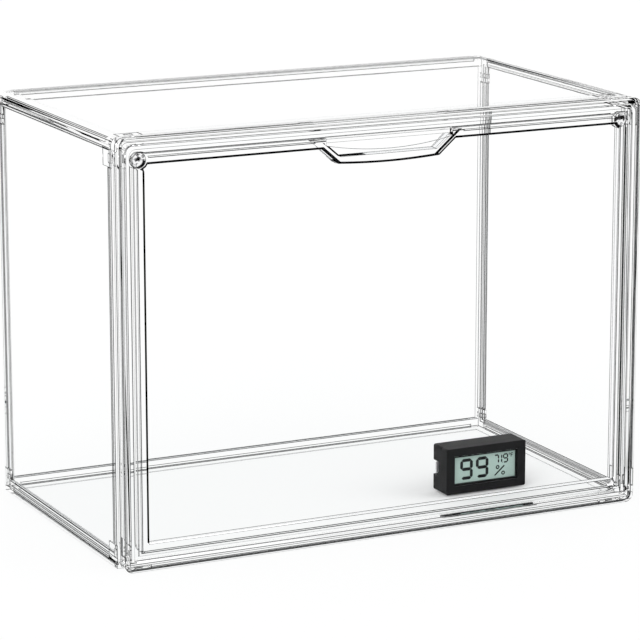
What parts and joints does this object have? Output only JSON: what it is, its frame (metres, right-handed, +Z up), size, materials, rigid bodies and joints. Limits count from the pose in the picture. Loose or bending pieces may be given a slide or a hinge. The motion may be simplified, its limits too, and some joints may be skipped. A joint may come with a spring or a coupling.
{
  "type": "mini greenhouse",
  "caption": "Clear moulded plastic tabletop greenhouse cabinet with a drop-front magnetic door, snap-together panels and a small digital thermo-hygrometer inside.",
  "frame": {"origin": "on the table under the middle of the cabinet", "axes": "+X to the right as seen from the door, +Y from the door to the back, +Z up"},
  "size_m": [0.3, 0.172, 0.223],
  "materials": {
    "clear_plastic": "clear, polished",
    "magnet": "bright nickel plate",
    "gauge_case": "fine satin",
    "gauge_window": "clear",
    "display_glass": "satin",
    "elastic_strip": "matte",
    "circuit_board": "solder mask",
    "sensor_white": "matte",
    "cell_steel": "brushed",
    "spring_steel": "rolled"
  },
  "bodies": {
    "case": {"base_panel": "clear_plastic", "top_panel": "clear_plastic", "back_panel": "clear_plastic", "left_panel": "clear_plastic", "right_panel": "clear_plastic", "front_frame": "clear_plastic", "frame_magnets": "magnet"},
    "door": {"door_panel": "clear_plastic", "door_magnets": "magnet"},
    "gauge": {"gauge_bezel": "gauge_case", "gauge_lens": "gauge_window", "gauge_lcd": "display_glass", "gauge_lcd_connector": "elastic_strip", "gauge_circuit_board": "circuit_board", "gauge_sensor": "sensor_white", "gauge_cells": "cell_steel", "gauge_contacts": "spring_steel", "gauge_housing": "gauge_case", "gauge_side_clips": "spring_steel"},
    "gauge_cover": {"gauge_battery_cover": "gauge_case"}
  },
  "joints": [
    {"name": "door_hinge", "type": "hinge", "parent": "case", "child": "door", "pos_m": [0, -0.0829, 0.0073], "axis": [1, 0, 0], "range_deg": [0, 90]},
    {"name": "gauge_lift", "type": "slide", "parent": "case", "child": "gauge", "axis": [0, 0, 1], "range_m": [0, 0.1]},
    {"name": "cover_pull", "type": "slide", "parent": "gauge", "child": "gauge_cover", "axis": [0, 1, 0], "range_m": [0, 0.012]}
  ]
}
